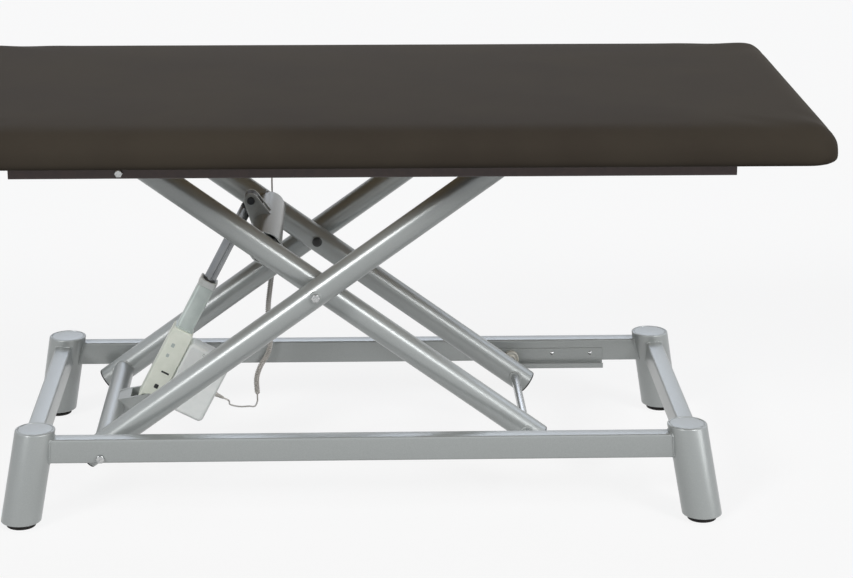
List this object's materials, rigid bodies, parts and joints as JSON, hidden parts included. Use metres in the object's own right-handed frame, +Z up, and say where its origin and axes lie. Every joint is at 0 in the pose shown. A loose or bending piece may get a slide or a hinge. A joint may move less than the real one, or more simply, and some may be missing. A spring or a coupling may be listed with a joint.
{
  "type": "scissor lift therapy table",
  "caption": "Wide padded treatment table on a crossed-arm scissor lift with an electric linear actuator, leaning tubular legs and a coiled cable.",
  "frame": {"origin": "on the floor, under the middle of the padded top", "axes": "+X along the top towards the sliding ends of the arms, +Y away from the front rail, +Z up"},
  "size_m": [1.9934, 1.0282, 0.9377],
  "materials": {
    "silver_paint": "satin",
    "brown_paint": "satin",
    "brown_vinyl": "satin",
    "birch_plywood": "matte",
    "black_rubber": "matte",
    "black_plastic": "matte",
    "white_nylon": "satin",
    "zinc_steel": "satin",
    "chromed_steel": "polished",
    "cream_abs": "satin",
    "pale_grey_abs": "satin",
    "grey_aluminium": "satin",
    "dark_steel": "satin",
    "grey_pvc": "satin"
  },
  "bodies": {
    "base": {"leg_front_left": "silver_paint", "leg_front_right": "silver_paint", "leg_rear_left": "silver_paint", "leg_rear_right": "silver_paint", "foot_front_left": "black_rubber", "foot_front_right": "black_rubber", "foot_rear_left": "black_rubber", "foot_rear_right": "black_rubber", "base_rail_front": "silver_paint", "base_rail_rear": "silver_paint", "base_rail_left": "silver_paint", "base_rail_right": "silver_paint", "base_channel_front": "silver_paint", "base_channel_rear": "silver_paint", "lower_pivot_shaft": "zinc_steel", "lower_pivot_nut": "zinc_steel", "cable_coil": "grey_pvc", "cable_tail": "grey_pvc"},
    "outer_frame": {"outer_arm_front": "silver_paint", "outer_arm_rear": "silver_paint", "outer_arm_cap_front": "black_plastic", "outer_arm_cap_rear": "black_plastic", "lower_cross_tube": "silver_paint", "lower_actuator_bracket": "silver_paint", "lower_clevis_pin": "dark_steel", "upper_axle": "zinc_steel", "centre_bolt_front": "zinc_steel", "centre_bolt_rear": "zinc_steel"},
    "inner_frame": {"inner_arm_front": "silver_paint", "inner_arm_rear": "silver_paint", "inner_arm_cap_front": "black_plastic", "inner_arm_cap_rear": "black_plastic", "upper_cross_tube": "silver_paint", "upper_actuator_bracket": "silver_paint", "upper_clevis_pin": "dark_steel", "lower_axle": "zinc_steel", "centre_plug_front": "black_plastic", "centre_plug_rear": "black_plastic"},
    "top": {"top_rail_front": "brown_paint", "top_rail_rear": "brown_paint", "top_cross_left": "brown_paint", "top_cross_right": "brown_paint", "top_channel_front": "zinc_steel", "top_channel_rear": "zinc_steel", "upper_pivot_shaft": "zinc_steel", "upper_pivot_nut": "zinc_steel", "deck_board": "birch_plywood", "pad": "brown_vinyl", "cable_gland": "black_plastic"},
    "rod": {"piston_rod": "chromed_steel", "rod_eye": "dark_steel"},
    "barrel": {"motor_housing": "cream_abs", "control_box": "pale_grey_abs", "actuator_tube": "grey_aluminium", "tube_collar": "pale_grey_abs", "cable_boot": "grey_pvc"},
    "lower_roller_front": {"lower_roller_front": "white_nylon"},
    "lower_roller_rear": {"lower_roller_rear": "white_nylon"},
    "upper_roller_front": {"upper_roller_front": "white_nylon"},
    "upper_roller_rear": {"upper_roller_rear": "white_nylon"}
  },
  "joints": [
    {"name": "lift", "type": "hinge", "parent": "base", "child": "outer_frame", "pos_m": [-0.617, 0, 0.154], "axis": [0, -1, 0], "range_deg": [-25, 1], "deforming": ["cable_coil", "cable_tail"]},
    {"name": "scissor_centre", "type": "hinge", "parent": "outer_frame", "child": "inner_frame", "pos_m": [-0.13159, 0, 0.50667], "axis": [0, -1, 0], "range_deg": [-2.02, 50.02]},
    {"name": "top_level", "type": "hinge", "parent": "inner_frame", "child": "top", "pos_m": [-0.5539, 0, 0.81349], "axis": [0, -1, 0], "range_deg": [-25.02, 1.02]},
    {"name": "rod_swing", "type": "hinge", "parent": "inner_frame", "child": "rod", "pos_m": [-0.28238, 0, 0.65912], "axis": [0, -1, 0], "range_deg": [-51.33, 2.07]},
    {"name": "rod_stroke", "type": "slide", "parent": "rod", "child": "barrel", "axis": [-0.4612, 0, -0.8873], "range_m": [-0.182, 0.0078]},
    {"name": "lower_roller_front_spin", "type": "hinge", "parent": "inner_frame", "child": "lower_roller_front", "pos_m": [0.35382, -0.31781, 0.154], "axis": [0, -1, 0], "range_deg": [-640.5, 26.1]},
    {"name": "upper_roller_front_spin", "type": "hinge", "parent": "outer_frame", "child": "upper_roller_front", "pos_m": [0.29072, -0.31781, 0.81349], "axis": [0, -1, 0], "range_deg": [-22.9, 560.5]},
    {"name": "lower_roller_rear_spin", "type": "hinge", "parent": "inner_frame", "child": "lower_roller_rear", "pos_m": [0.35382, 0.31781, 0.154], "axis": [0, -1, 0], "range_deg": [-640.5, 26.1]},
    {"name": "upper_roller_rear_spin", "type": "hinge", "parent": "outer_frame", "child": "upper_roller_rear", "pos_m": [0.29072, 0.31781, 0.81349], "axis": [0, -1, 0], "range_deg": [-22.9, 560.5]}
  ],
  "couplings": [
    {"joint": "scissor_centre", "follows": "lift", "ratio": -2},
    {"joint": "top_level", "follows": "lift", "ratio": 1},
    {"joint": "rod_swing", "follows": "lift", "ratio": 2.0525},
    {"joint": "rod_stroke", "follows": "lift", "m_per_rad": 0.416},
    {"joint": "lower_roller_front_spin", "follows": "lift", "ratio": 25.6},
    {"joint": "upper_roller_front_spin", "follows": "lift", "ratio": -22.4},
    {"joint": "lower_roller_rear_spin", "follows": "lift", "ratio": 25.6},
    {"joint": "upper_roller_rear_spin", "follows": "lift", "ratio": -22.4}
  ]
}
